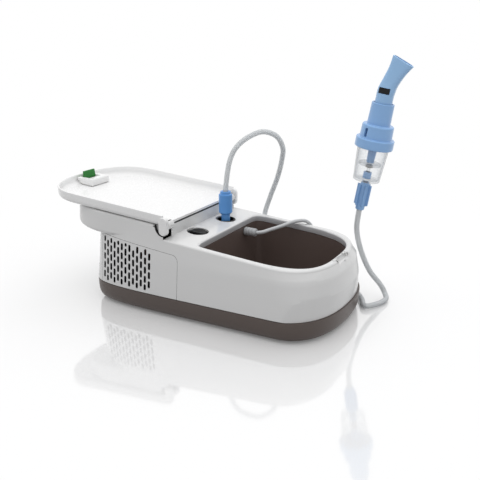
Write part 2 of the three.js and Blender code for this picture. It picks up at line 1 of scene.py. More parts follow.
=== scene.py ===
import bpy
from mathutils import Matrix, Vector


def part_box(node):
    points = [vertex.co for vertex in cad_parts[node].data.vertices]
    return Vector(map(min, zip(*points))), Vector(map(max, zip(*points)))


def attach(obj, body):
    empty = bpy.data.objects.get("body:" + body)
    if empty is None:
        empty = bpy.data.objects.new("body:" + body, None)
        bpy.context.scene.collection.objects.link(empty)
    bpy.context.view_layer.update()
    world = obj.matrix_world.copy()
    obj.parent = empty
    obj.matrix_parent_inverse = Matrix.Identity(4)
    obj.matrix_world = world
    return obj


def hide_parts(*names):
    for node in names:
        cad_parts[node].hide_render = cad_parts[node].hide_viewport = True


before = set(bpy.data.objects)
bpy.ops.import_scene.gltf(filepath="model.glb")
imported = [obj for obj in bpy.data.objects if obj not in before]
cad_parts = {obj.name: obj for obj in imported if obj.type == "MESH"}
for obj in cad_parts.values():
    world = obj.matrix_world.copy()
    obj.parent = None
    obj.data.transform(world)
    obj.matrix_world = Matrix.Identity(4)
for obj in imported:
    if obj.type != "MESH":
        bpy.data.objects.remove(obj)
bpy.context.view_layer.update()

import math

import bmesh
import bpy
from mathutils import Matrix, Vector

# ------------------------------------------------------------------ frame: design millimetres to the row frame in metres
_lo, _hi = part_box("base_tray")
OX, OY = (_lo.x + _hi.x) * 500.0, (_lo.y + _hi.y) * 500.0
MM = Matrix.Translation((OX / 1000, OY / 1000, 0)) @ Matrix.Scale(0.001, 4)

WALL, PART_Z, DECK_Z, TOP_Z, SLOPE = 2.6, 22.9, 84.3, 97.15, 0.083
HX, HZ, LID_D = -37.5, 97.45, 11.6
BASE = dict(xc=89.46, af=51.7, nf=2.4, ar=230.6, nr=7.5, b=82)
MID = dict(xc=83, af=53, nf=2.44, ar=221, nr=7.5, b=78.4)
RIM = dict(xc=79.14, af=52.3, nf=2.44, ar=215.34, nr=7.5, b=75.6)
BAY = dict(xc=50.44, af=73.6, nf=3.19, ar=53.3, nr=14, b=67.8)
REAR = dict(xc=-60, af=70, nf=8, ar=111, nr=4.6, b=76.2)
SWITCH, OUTLET = (-23.8, -29.4), (-22.0, 28.0)
HAND, TILT, BEND = (127.3, 55.0, 107.5), math.radians(9.456), math.radians(19.4)


def deck(x):
    return DECK_Z - SLOPE * (x - HX)


def top(x):
    return TOP_Z - SLOPE * (x - HX)


# ------------------------------------------------------------------ mesh helpers, all in design millimetres
def mix(a, b, t):
    return {k: a[k] + (b[k] - a[k]) * t for k in a}


def outline(o, inset, seg):
    dense, n = [], 2400
    for i in range(n + 1):
        t = 2 * math.pi * i / n
        c, s = math.cos(t), math.sin(t)
        e, a = (o["nf"], o["af"] - inset) if c >= 0 else (o["nr"], o["ar"] - inset)
        dense.append((o["xc"] + a * math.copysign(abs(c) ** (2 / e), c), (o["b"] - inset) * math.copysign(abs(s) ** (2 / e), s)))
    length = [0.0]
    for p, q in zip(dense, dense[1:]):
        length.append(length[-1] + math.hypot(q[0] - p[0], q[1] - p[1]))
    out, j = [], 0
    for i in range(seg):
        want = length[-1] * i / seg
        while length[j + 1] < want:
            j += 1
        f = (want - length[j]) / max(length[j + 1] - length[j], 1e-9)
        out.append((dense[j][0] + f * (dense[j + 1][0] - dense[j][0]), dense[j][1] + f * (dense[j + 1][1] - dense[j][1])))
    return out


def ring(o, inset, z, seg=280):
    return [(x, y, z(x) if callable(z) else z) for x, y in outline(o, inset, seg)]


def make(name, verts, faces):
    me = bpy.data.meshes.new(name)
    me.from_pydata([tuple(v) for v in verts], [], faces)
    me.validate()
    ob = bpy.data.objects.new(name, me)
    bpy.context.scene.collection.objects.link(ob)
    return ob


def loft(name, rings):
    n = len(rings[0])
    verts = [p for r in rings for p in r]
    faces = []
    for k in range(len(rings) - 1):
        for i in range(n):
            a, b = k * n + i, k * n + (i + 1) % n
            faces.append((a, b, b + n, a + n))
    faces.append(tuple(reversed(range(n))))
    faces.append(tuple(range((len(rings) - 1) * n, len(rings) * n)))
    return make(name, verts, faces)


def band(name, rings):
    """A closed loop of rings: a ring-shaped solid with no caps."""
    n, m = len(rings[0]), len(rings)
    verts = [p for r in rings for p in r]
    faces = [(k * n + i, k * n + (i + 1) % n, ((k + 1) % m) * n + (i + 1) % n, ((k + 1) % m) * n + i) for k in range(m) for i in range(n)]
    ob = make(name, verts, faces)
    return fix(ob)


def fix(ob):
    bm = bmesh.new()
    bm.from_mesh(ob.data)
    bmesh.ops.remove_doubles(bm, verts=bm.verts, dist=1e-5)
    bmesh.ops.recalc_face_normals(bm, faces=bm.faces)
    bm.to_mesh(ob.data)
    bm.free()
    return ob


def prism(name, pts, y0, y1):
    n = len(pts)
    verts = [(x, y0, z) for x, z in pts] + [(x, y1, z) for x, z in pts]
    faces = [tuple(range(n)), tuple(reversed(range(n, 2 * n)))] + [(i, i + n, (i + 1) % n + n, (i + 1) % n) for i in range(n)]
    return fix(make(name, verts, faces))


def block(name, x0, x1, y0, y1, z0, z1):
    return prism(name, [(x0, z0), (x1, z0), (x1, z1), (x0, z1)], y0, y1)


def lathe(name, profile, seg=72):
    """profile: list of (r, z); on the axis at both ends, or a closed loop."""
    closed = profile[0][0] > 1e-6
    verts, faces, rows = [], [], []
    for r, z in profile:
        if r < 1e-6:
            verts.append((0, 0, z))
            rows.append([len(verts) - 1] * seg)
        else:
            k = len(verts)
            verts += [(r * math.cos(2 * math.pi * i / seg), r * math.sin(2 * math.pi * i / seg), z) for i in range(seg)]
            rows.append(list(range(k, k + seg)))
    pairs = list(zip(rows, rows[1:])) + ([(rows[-1], rows[0])] if closed else [])
    for p, q in pairs:
        for i in range(seg):
            j = (i + 1) % seg
            f = []
            for v in (p[i], p[j], q[j], q[i]):
                if v not in f:
                    f.append(v)
            if len(f) > 2:
                faces.append(tuple(f))
    return fix(make(name, verts, faces))


def soften(profile, r=0.6, steps=4):
    """Rounds every corner of a (r, z) profile by about r."""
    closed = profile[0][0] > 1e-6
    out, n = [], len(profile)
    for i, p in enumerate(profile):
        if not closed and i in (0, n - 1):
            out.append(p)
            continue
        a, b = Vector(profile[i - 1]), Vector(profile[(i + 1) % n])
        q = Vector(p)
        d = min(r, (a - q).length * 0.45, (b - q).length * 0.45)
        s, e = q + (a - q).normalized() * d, q + (b - q).normalized() * d
        for k in range(steps + 1):
            t = k / steps
            v = s * (1 - t) ** 2 + q * 2 * t * (1 - t) + e * t * t
            out.append((v.x, v.y))
    return out


def boolean(ob, others, op):
    for o in others if isinstance(others, (list, tuple)) else [others]:
        m = ob.modifiers.new("b", "BOOLEAN")
        m.operation, m.object, m.solver = op, o, "EXACT"
        deps = bpy.context.evaluated_depsgraph_get()
        me = bpy.data.meshes.new_from_object(ob.evaluated_get(deps))
        ob.modifiers.clear()
        ob.data = me
    return ob


def drop(*obs):
    for o in obs:
        bpy.data.objects.remove(o)


def cut(ob, *others):
    boolean(ob, list(others), "DIFFERENCE")
    drop(*others)
    return ob


def join(ob, *others):
    boolean(ob, list(others), "UNION")
    drop(*others)
    return ob


def copy(ob, name="copy"):
    o = bpy.data.objects.new(name, ob.data.copy())
    bpy.context.scene.collection.objects.link(o)
    return o


def spin(ob, m):
    ob.data.transform(m)
    return ob


def pin(name, r, y0, y1, x, z, seg=48, axis="Y"):
    ob = lathe(name, [(0, y0), (r, y0), (r, y1), (0, y1)], seg)
    if axis == "Y":
        spin(ob, Matrix.Translation((x, 0, z)) @ Matrix.Rotation(-math.pi / 2, 4, "X"))
    elif axis == "Z":
        spin(ob, Matrix.Translation((x, z, 0)))
    return ob


def catmull(points, count):
    """Centripetal curve through the points, evenly spaced along its length."""
    P = [Vector(p) for p in points]
    P = [P[0] * 2 - P[1]] + P + [P[-1] * 2 - P[-2]]
    dense = []
    for i in range(1, len(P) - 2):
        p0, p1, p2, p3 = P[i - 1:i + 3]
        t0 = 0.0
        t1 = t0 + (p1 - p0).length ** 0.5
        t2 = t1 + (p2 - p1).length ** 0.5
        t3 = t2 + (p3 - p2).length ** 0.5
        for k in range(24):
            t = t1 + (t2 - t1) * k / 24
            a1 = p0 * ((t1 - t) / (t1 - t0)) + p1 * ((t - t0) / (t1 - t0))
            a2 = p1 * ((t2 - t) / (t2 - t1)) + p2 * ((t - t1) / (t2 - t1))
            a3 = p2 * ((t3 - t) / (t3 - t2)) + p3 * ((t - t2) / (t3 - t2))
            b1 = a1 * ((t2 - t) / (t2 - t0)) + a2 * ((t - t0) / (t2 - t0))
            b2 = a2 * ((t3 - t) / (t3 - t1)) + a3 * ((t - t1) / (t3 - t1))
            dense.append(b1 * ((t2 - t) / (t2 - t1)) + b2 * ((t - t1) / (t2 - t1)))
    dense.append(P[-2])
    L = [0.0]
    for a, b in zip(dense, dense[1:]):
        L.append(L[-1] + (b - a).length)
    out, j = [], 0
    for i in range(count + 1):
        w = min(L[-1] * i / count, L[-1] - 1e-9)
        while L[j + 1] < w:
            j += 1
        out.append(dense[j].lerp(dense[j + 1], (w - L[j]) / max(L[j + 1] - L[j], 1e-9)))
    return out


def sweep(name, points, ro, ri, count, around=20, radius=None):
    line = catmull(points, count)
    up = Vector((0.3, 0.5, 0.8))
    rings_o, rings_i = [], []
    for i, p in enumerate(line):
        d = (line[min(i + 1, count)] - line[max(i - 1, 0)]).normalized()
        up = (up - d * up.dot(d)).normalized()
        side = d.cross(up)
        for ringset, r in ((rings_o, ro), (rings_i, ri)):
            rr = r * (radius(i / count) if radius else 1)
            ringset.append([tuple(p + (up * math.cos(2 * math.pi * k / around) + side * math.sin(2 * math.pi * k / around)) * rr) for k in range(around)])
    if ri > 0:
        return band(name, rings_o + rings_i[::-1])
    return fix(loft(name, rings_o))


def finish_piece(ob, node, body, material, angle=32, weighted=True):
    """Into metres, shaded, given its material, tied to its body, and with the CAD node it replaces hidden."""
    ob.data.transform(MM)
    me = ob.data
    bm = bmesh.new()
    bm.from_mesh(me)
    bmesh.ops.remove_doubles(bm, verts=bm.verts, dist=2e-6)
    bmesh.ops.dissolve_degenerate(bm, edges=bm.edges, dist=1e-6)
    loose = [v for v in bm.verts if not v.link_faces]
    bmesh.ops.delete(bm, geom=loose, context="VERTS")
    bm.to_mesh(me)
    bm.free()
    for p in me.polygons:
        p.use_smooth = True
    me.set_sharp_from_angle(angle=math.radians(angle))
    if weighted:
        w = ob.modifiers.new("weighted", "WEIGHTED_NORMAL")
        w.keep_sharp = True
        w.weight = 60
    me.materials.clear()
    me.materials.append(material)
    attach(ob, body)
    nodes = [node] if isinstance(node, str) else list(node or [])
    if nodes:
        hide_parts(*nodes)
    return ob


# ------------------------------------------------------------------ materials
def plastic(name, color, rough=0.35, *, vary=0.04, grain=0.0, grain_scale=900, coat=0.0, spec=0.5, transmission=0.0, ior=1.46,
            alpha=1.0, metallic=0.0, sss=0.0, ao_shade=0.12, rough_vary=0.08, scale=14.0, emit=0.0):
    m = bpy.data.materials.new(name)
    m.use_nodes = True
    nt = m.node_tree
    N, L = nt.nodes, nt.links
    b = N["Principled BSDF"]
    geo = N.new("ShaderNodeNewGeometry")
    big = N.new("ShaderNodeTexNoise")
    big.inputs["Scale"].default_value = scale
    big.inputs["Detail"].default_value = 4
    L.new(geo.outputs["Position"], big.inputs["Vector"])
    fine = N.new("ShaderNodeTexNoise")
    fine.inputs["Scale"].default_value = grain_scale
    fine.inputs["Detail"].default_value = 3
    L.new(geo.outputs["Position"], fine.inputs["Vector"])
    ramp = N.new("ShaderNodeMixRGB")
    ramp.blend_type = "MIX"
    ramp.inputs[1].default_value = (*[c * (1 - vary) for c in color], 1)
    ramp.inputs[2].default_value = (*[min(1, c * (1 + vary)) for c in color], 1)
    L.new(big.outputs["Fac"], ramp.inputs[0])
    # ambient occlusion darkens the base colour in hollows, creases and between parts: painted shade
    ao = N.new("ShaderNodeAmbientOcclusion")
    ao.samples = 4
    ao.inputs["Distance"].default_value = 0.006
    dark = N.new("ShaderNodeMixRGB")
    dark.blend_type = "MULTIPLY"
    fac = N.new("ShaderNodeMapRange")
    fac.inputs["From Min"].default_value, fac.inputs["From Max"].default_value = 0.35, 0.95
    fac.inputs["To Min"].default_value, fac.inputs["To Max"].default_value = ao_shade * 3.0, 0.0
    L.new(ao.outputs["AO"], fac.inputs["Value"])
    L.new(fac.outputs["Result"], dark.inputs[0])
    L.new(ramp.outputs[0], dark.inputs[1])
    dark.inputs[2].default_value = (0.45, 0.44, 0.42, 1)
    L.new(dark.outputs[0], b.inputs["Base Color"])
    rr = N.new("ShaderNodeMapRange")
    rr.inputs["To Min"].default_value, rr.inputs["To Max"].default_value = max(0.02, rough - rough_vary), min(1, rough + rough_vary)
    L.new(fine.outputs["Fac"], rr.inputs["Value"])
    L.new(rr.outputs["Result"], b.inputs["Roughness"])
    if grain > 0:
        bump = N.new("ShaderNodeBump")
        bump.inputs["Strength"].default_value = grain
        bump.inputs["Distance"].default_value = 0.0002
        L.new(fine.outputs["Fac"], bump.inputs["Height"])
        L.new(bump.outputs["Normal"], b.inputs["Normal"])
    b.inputs["Metallic"].default_value = metallic
    b.inputs["Specular IOR Level"].default_value = spec
    b.inputs["IOR"].default_value = ior
    b.inputs["Coat Weight"].default_value = coat
    b.inputs["Coat Roughness"].default_value = 0.08
    b.inputs["Transmission Weight"].default_value = transmission
    b.inputs["Alpha"].default_value = alpha
    if sss:
        b.inputs["Subsurface Weight"].default_value = sss
        b.inputs["Subsurface Radius"].default_value = (0.004, 0.004, 0.004)
    return m


def srgb(r, g, b):
    return tuple(((c / 255 + 0.055) / 1.055) ** 2.4 if c > 10 else c / 255 / 12.92 for c in (r, g, b))


# darker grey for the upright inner faces of the bay lip: painted shade
LIP_SHADE = plastic("lip_painted_shade", srgb(186, 186, 188), 0.35, vary=0.02, grain=0.05, ao_shade=0.2)
WHITE = plastic("housing_white", srgb(222, 222, 222), 0.24, vary=0.012, grain=0.05, coat=0.35, ao_shade=0.10)
LIDMAT = plastic("lid_white", srgb(243, 243, 243), 0.26, vary=0.010, grain=0.05, coat=0.30, ao_shade=0.08)
TAUPE = plastic("base_taupe", srgb(84, 73, 68), 0.42, vary=0.05, grain=0.30, coat=0.10)
BROWN = plastic("bay_brown", srgb(92, 79, 74), 0.40, vary=0.06, grain=0.35, coat=0.12)
BLACK = plastic("switch_black", srgb(10, 10, 12), 0.38, vary=0.10, grain=0.12, spec=0.3)
GREEN = plastic("latch_green", srgb(18, 118, 32), 0.38, vary=0.06, grain=0.15)
BLUE = plastic("plug_blue", srgb(96, 156, 222), 0.34, vary=0.05, grain=0.12, sss=0.05)
SKY = plastic("hand_set_blue", srgb(146, 190, 240), 0.30, vary=0.04, grain=0.10, coat=0.3)
PALE = plastic("mouthpiece_blue", srgb(158, 200, 242), 0.30, vary=0.04, grain=0.14, coat=0.3)
def clear(name, body, edge_shade, centre, rim, rough, power=1.0):
    """Clear plastic: see-through face on, glossy towards the edges, with a darker colour painted in towards the edges
    as painted shade.
    """
    m = bpy.data.materials.new(name)
    m.use_nodes = True
    nt = m.node_tree
    N, L = nt.nodes, nt.links
    b, out = N["Principled BSDF"], N["Material Output"]
    lw = N.new("ShaderNodeLayerWeight")
    lw.inputs["Blend"].default_value = 0.5
    bend = N.new("ShaderNodeMath")
    bend.operation = "POWER"
    bend.inputs[1].default_value = power
    L.new(lw.outputs["Facing"], bend.inputs[0])
    geo = N.new("ShaderNodeNewGeometry")
    noise = N.new("ShaderNodeTexNoise")
    noise.inputs["Scale"].default_value = 60
    noise.inputs["Detail"].default_value = 3
    L.new(geo.outputs["Position"], noise.inputs["Vector"])
    rr = N.new("ShaderNodeMapRange")
    rr.inputs["To Min"].default_value, rr.inputs["To Max"].default_value = max(0.02, rough - 0.03), rough + 0.05
    L.new(noise.outputs["Fac"], rr.inputs["Value"])
    L.new(rr.outputs["Result"], b.inputs["Roughness"])
    # the colour darkens towards the edges with the facing angle: painted shade
    edge_shade_mix = N.new("ShaderNodeMixRGB")
    edge_shade_mix.inputs[1].default_value, edge_shade_mix.inputs[2].default_value = (*body, 1), (*edge_shade, 1)
    L.new(bend.outputs[0], edge_shade_mix.inputs[0])
    L.new(edge_shade_mix.outputs[0], b.inputs["Base Color"])
    b.inputs["Specular IOR Level"].default_value = 0.7
    see = N.new("ShaderNodeBsdfTransparent")
    see.inputs[0].default_value = (0.985, 0.988, 0.99, 1)
    cover = N.new("ShaderNodeMapRange")
    cover.inputs["To Min"].default_value, cover.inputs["To Max"].default_value = centre, rim
    L.new(bend.outputs[0], cover.inputs["Value"])
    mixer = N.new("ShaderNodeMixShader")
    L.new(cover.outputs["Result"], mixer.inputs[0])
    L.new(see.outputs[0], mixer.inputs[1])
    L.new(b.outputs[0], mixer.inputs[2])
    L.new(mixer.outputs[0], out.inputs["Surface"])
    return m


CLEAR = clear("cup_clear", srgb(226, 230, 234), srgb(120, 126, 132), 0.06, 0.80, 0.06, 2.2)
TUBING = clear("tube_clear", srgb(232, 235, 237), srgb(170, 175, 178), 0.50, 0.85, 0.38, 1.6)
# near-black colour for faces in shade: painted shade inside the shell, in the vent slots and in the gaps round the lid
PAINTED_SHADE = plastic("housing_painted_shade", srgb(34, 34, 36), 0.6, vary=0.05, grain=0.2)
BOOT = plastic("boot_grey", srgb(182, 184, 186), 0.50, vary=0.04, grain=0.30, ao_shade=0.2)
CORD = plastic("cord_grey", srgb(205, 207, 209), 0.45, vary=0.03, grain=0.20)
RUBBER = plastic("rubber_black", srgb(38, 38, 40), 0.75, vary=0.12, grain=0.5)
STEEL = plastic("steel_brushed", (0.55, 0.56, 0.58), 0.32, vary=0.06, metallic=1.0, grain=0.2)
ALU = plastic("alu_cast", (0.62, 0.63, 0.65), 0.45, vary=0.08, metallic=1.0, grain=0.5)
COIL = plastic("motor_winding", srgb(138, 75, 34), 0.4, vary=0.2, grain=0.6, metallic=0.5)
BAFFLE = plastic("baffle_grey", srgb(176, 166, 148), 0.4, vary=0.06, grain=0.1)

for node, mat in {
    "hinge_pin_near": STEEL, "hinge_pin_far": STEEL, "compressor_bracket": STEEL, "motor_stator": COIL, "motor_shaft": STEEL,
    "cooling_fan": BLACK, "crank_disc": STEEL, "compressor_cylinder": ALU, "piston_and_rod": ALU, "cylinder_head": ALU,
    "internal_air_hose": RUBBER, **{f"rubber_mount_{i}": RUBBER for i in range(1, 5)},
    **{f"base_screw_{i}": STEEL for i in range(1, 5)}, **{f"foot_{i}": RUBBER for i in range(1, 5)},
}.items():
    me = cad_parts[node].data
    me.materials.clear()
    me.materials.append(mat)

# ------------------------------------------------------------------ housing
STATIONS = [(PART_Z + 0.3, BASE, 0.1), (43.0, BASE, 1.9), (62.0, MID, 0.0)]


def wall_rings(extra, z_top, seg=280):
    """Side wall rings from the parting line to the rim; extra is an inset added throughout."""
    rings = [ring(BASE, 0.5 + extra, PART_Z + 0.3, seg), ring(BASE, 0.1 + extra, PART_Z + 0.8, seg)]
    rings += [ring(BASE, 0.1 + 1.8 * ((z - 23.2) / 19.8) ** 1.15 + extra, z, seg) for z in (28, 33, 38, 43)]
    b43 = {**BASE, "af": BASE["af"] - 1.9, "ar": BASE["ar"] - 1.9, "b": BASE["b"] - 1.9}
    for t in (0.25, 0.5, 0.75, 1.0):
        rings.append(ring(mix(b43, MID, t), extra, 43 + 19 * t, seg))
    for t in (0.33, 0.66, 1.0):
        rings.append(ring(mix(MID, RIM, t), extra, (lambda x, t=t: 62 + (z_top(x) - 62) * t), seg))
    return rings


def fillet(o, inset, z, r, steps=5, seg=280):
    out = []
    for k in range(1, steps + 1):
        a = math.pi / 2 * k / steps
        out.append(ring(o, inset + r * (1 - math.cos(a)), (lambda x, a=a: z(x) - r + r * math.sin(a)), seg))
    return out


tall_top = {**RIM, "b": RIM["b"] - 1.2, "ar": RIM["ar"] - 1.2}
tall = loft("housing_shell", wall_rings(0, lambda x: deck(x) - 2.2) + [ring(tall_top, 0, lambda x: top(x) - 2.2)] + fillet(tall_top, 0, top, 2.2))
deck_form = loft("deck_form", [ring(RIM, -8, 5), ring(RIM, -8, lambda x: deck(x) - 14), ring(RIM, -0.03, lambda x: deck(x) - 2.2)]
                 + fillet(RIM, -0.03, deck, 2.2))
rear_form = prism("rear_form", [(-200, 5), (HX, 5), (HX, 96.0), (HX - 0.35, 96.8), (HX - 1.3, 97.23), (-60, 130), (-200, 130)], -120, 120)
join(deck_form, rear_form)
boolean(tall, deck_form, "INTERSECT")
drop(deck_form)


def under(x):
    if x > -105:
        return 78.5
    u = (-105 - x) / 66
    return 78.5 + 2.0 * u + 6.0 * u ** 3


def rear_ring(inset, z, seg=220):
    pts = []
    for x, y in outline(REAR, inset, seg):
        s = min(1, max(0, (-98 - x) / 28))
        s = s * s * (3 - 2 * s)
        y *= 1 - (1 - s) * 0.022
        pts.append((x, y, z(x)))
    return pts


handle = loft("handle", [rear_ring(4.4, under)] + [rear_ring(0.1 + 4.2 * (1 - math.sin(a)), lambda x, a=a: under(x) + 4.2 * (1 - math.cos(a)))
              for a in (0.3, 0.6, 0.9, 1.2, 1.57)] + [rear_ring(1.0, lambda x: top(x) - 2.6)]
              + [rear_ring(1.0 + 2.4 * (1 - math.cos(a)), lambda x, a=a: top(x) - 2.6 + 2.55 * math.sin(a)) for a in (0.4, 0.8, 1.2, 1.57)])
boolean(handle, prism("hb", [(-190, 60), (-60, 60), (-60, 130), (-190, 130)], -120, 120), "INTERSECT")
drop(bpy.data.objects["hb"])
join(tall, handle)

inner = loft("inner", [ring(BASE, 0.1 + WALL, 10, 160), ring(BASE, 1.9 + WALL, 43, 160), ring(MID, WALL, 62, 160), ring(RIM, WALL + 0.6, lambda x: deck(x) - 2.9, 160)])
inner_rear = loft("inner_rear", [ring(REAR, 4.2, 40, 120), ring(REAR, 5.2, lambda x: top(x) - 3.2, 120)])
boolean(inner_rear, prism("ib", [(-106, 83.4), (-134.5, 84.4), (-151, 86.4), (-162, 89.2), (-167, 91.2), (-167, 125), (HX - WALL, 125), (HX - WALL, 40), (-106, 40)], -100, 100), "INTERSECT")
drop(bpy.data.objects["ib"])
skin_in = copy(inner, "skin_in")
wall_solid = copy(tall, "wall_solid")
house = cut(tall, inner, inner_rear)
for s in (1, -1):
    def yy(a, b):
        return (a, b) if s > 0 else (-b, -a)
    boss = pin("boss", 14, *yy(59.7, 76), HX, HZ)
    boolean(boss, wall_solid, "INTERSECT")
    knuckle = pin("knuckle", 4.6, *yy(60, 70.7), HX, HZ)
    join(house, boss, knuckle)
    cut(house, pin("pocket", 10.8, *yy(70.7, 90), HX, HZ, 64), pin("bore", 2.8, *yy(61.2, 90), HX, HZ, 32))

mouth = loft("mouth", [ring(BAY, -1.9, 60), ring(BAY, -1.9, 120)])
notch_block = block("nb", 122, 133, -17, 17, 60, 80)
boolean(notch_block, wall_solid, "INTERSECT")
join(house, notch_block)
cut(house, mouth, pin("h1", 11.9, 60, 120, *SWITCH, 64, "Z"), pin("h2", 11.4, 60, 120, *OUTLET, 64, "Z"))
zn = deck(130)
cut(house, prism("notch", [(127.4, zn - 2.4), (128.0, zn - 3.2), (140, zn - 3.2), (140, zn + 12), (127.4, zn + 12)], -13.5, 13.5))


def panel_shape(i):
    x0, x1, z1, r = -123 + i, -18.5 - i, 70.3 - i, 8 - i
    pts = [(x0, 15), (x1, 15)]
    for k in range(11):
        t = math.pi / 2 * k / 10
        pts.append((x1 - r + r * math.cos(t), z1 - r + r * math.sin(t)))
    return pts + [(x0, z1 + SLOPE * (x1 - x0))]


def slots(s, cols):
    verts, faces = [], []
    y0, y1 = (60, 100) if s > 0 else (-100, -60)
    for k in range(cols):
        cx = -54 - 5.3 * k
        rows = [(29.6, 6.6), (38.3, 7.8), (48.3, 7.8), (58.3, 7.8)] if k % 2 else [(33.3, 7.8), (43.3, 7.8), (53.3, 7.8), (63.3, 7.8)]
        limit, z0 = 70.6 + SLOPE * (-54 - cx), (58.3 if k % 2 else 63.3) + 10 - 3.9
        while limit - z0 > 3:
            h = min(7.8, limit - z0)
            rows.append((z0 + h / 2, h))
            z0 += 10
        for cz, h in rows:
            pts, r = [], 1.5
            for q in range(9):
                a = math.pi * q / 8
                pts.append((cx + r * math.cos(a), cz + h / 2 - r + r * math.sin(a)))
            for q in range(9):
                a = math.pi + math.pi * q / 8
                pts.append((cx + r * math.cos(a), cz - h / 2 + r + r * math.sin(a)))
            n, b0 = len(pts), len(verts)
            verts += [(x, y0, z) for x, z in pts] + [(x, y1, z) for x, z in pts]
            faces += [tuple(b0 + i for i in range(n)), tuple(b0 + i for i in reversed(range(n, 2 * n)))]
            faces += [(b0 + i, b0 + i + n, b0 + (i + 1) % n + n, b0 + (i + 1) % n) for i in range(n)]
    return fix(make("slots", verts, faces))


cut(wall_solid, skin_in)
for name, s, cols in (("near", -1, 13), ("far", 1, 5)):
    y = (63, 100) if s > 0 else (-100, -63)
    cut(house, prism("win", panel_shape(0), *y))
    p = copy(wall_solid, f"vent_panel_{name}_skin")
    form = prism("pf", panel_shape(0.3), *y)
    boolean(p, form, "INTERSECT")
    drop(form)
    cut(p, slots(s, cols))
    finish_piece(p, f"vent_panel_{name}", "housing", WHITE, 30)
    # slot walls and other faces of the panel that do not face outwards get the dark colour: painted shade in the vent
    # slots
    p.data.materials.append(PAINTED_SHADE)
    for f in p.data.polygons:
        if f.normal.y * s < 0.35:
            f.material_index = 1
drop(wall_solid)
finish_piece(house, "upper_housing", "housing", WHITE, 34)
# inside faces of the shell, the downward ceiling faces, a ring round each hinge ear and the strip under the lid's hinge
# edge get a dark colour: painted shade and painted shadow gaps
house.data.materials.append(PAINTED_SHADE)
for p in house.data.polygons:
    x, y, z = p.center.x * 1000 - OX, p.center.y * 1000 - OY, p.center.z * 1000
    away = (x - max(-60, min(60, x))) * p.normal.x + y * p.normal.y
    ear_gap_shadow = abs(y) > 70.8 and 10.2 < math.hypot(x - HX, z - HZ) < 11.3
    under_lid_shadow = abs(x - HX) < 1.4 and z > 95.9 and abs(y) < 70
    notch = x > 118 and abs(y) < 20
    ceiling_shade = p.normal.z < -0.7 and x > -104 and z > 60
    if (z < 74 and away < -1 and not notch) or ceiling_shade or ear_gap_shadow or under_lid_shadow:
        p.material_index = 1

# rounded lip of the storage bay, running down to the tub
lip = [ring(BAY, -1.85, deck)]
for k in range(1, 7):
    a = math.pi / 2 * k / 6
    lip.append(ring(BAY, -1.85 + 1.85 * math.sin(a), lambda x, a=a: deck(x) - 1.85 * (1 - math.cos(a))))
lip += [ring(BAY, 0.0, lambda x: deck(x) - 6.2), ring(BAY, -0.3, lambda x: deck(x) - 6.9), ring(BAY, -1.85, lambda x: deck(x) - 6.9)]
lip = finish_piece(band("bay_lip", lip), None, "housing", WHITE, 40, False)
# the upright inner faces of the lip get a darker grey copy of the white: painted shade
lip.data.materials.append(LIP_SHADE)
for p in lip.data.polygons:
    if abs(p.normal.z) < 0.4:
        p.material_index = 1

# ------------------------------------------------------------------ base and storage tub
base = loft("base_tray_skin", [ring(BASE, 7.2, 2.5), ring(BASE, 5.6, 2.5), ring(BASE, 4.1, 3.0), ring(BASE, 2.8, 4.1), ring(BASE, 1.7, 5.9), ring(BASE, 0.95, 8.2),
            ring(BASE, 0.45, 11.5), ring(BASE, 0.15, 16), ring(BASE, 0.0, 21.9), ring(BASE, 0.15, 22.7), ring(BASE, 0.7, PART_Z)])
cut(base, loft("bi", [ring(BASE, 6.2, 6, 160), ring(BASE, 3.4, 9, 160), ring(BASE, WALL, PART_Z + 3, 160)]))
for x, y in ((-112, 56), (-112, -56), (-14, 64), (-14, -64)):
    join(base, pin("boss", 6, 5.5, 11.6, x, y, 32, "Z"))
    cut(base, pin("hole", 2.1, 0, 14, x, y, 24, "Z"), pin("cb", 3.9, 0, 7.8, x, y, 32, "Z"))
for x, y in ((-112, 38), (-112, -38), (92, 50), (92, -50)):
    cut(base, pin("fh", 3.1, 0, 8, x, y, 24, "Z"))
cut(base, *[block(f"s{i}", -100 + i * 9, -96 + i * 9, -22, 14, 0, 8) for i in range(5)])
finish_piece(base, "base_tray", "housing", TAUPE, 34)

tub_out = [ring(BAY, 5, 12), ring(BAY, 3.2, 12.9), ring(BAY, 1.6, 15), ring(BAY, 1.0, 18), ring(BAY, -1.8, lambda x: deck(x) - 7.3)]
tub_in = [ring(BAY, 0.0, lambda x: deck(x) - 7.3), ring(BAY, 3.0, 24)]
for k in range(1, 7):
    a = math.pi / 2 * k / 6
    tub_in.append(ring(BAY, 3.0 + 8 * (1 - math.cos(a)), 24 - 9.8 * math.sin(a)))
tub = loft("storage_tub_skin", tub_out + tub_in)
fix(tub)
hole = pin("th", 4.1, -12, 4, 0, 0, 32, "Z")
spin(hole, Matrix.Translation((0, 38.5, 68.5)) @ Matrix.Rotation(math.pi / 2, 4, "Y"))
cut(tub, hole)
finish_piece(tub, "storage_bay_tub", "housing", BROWN, 34)

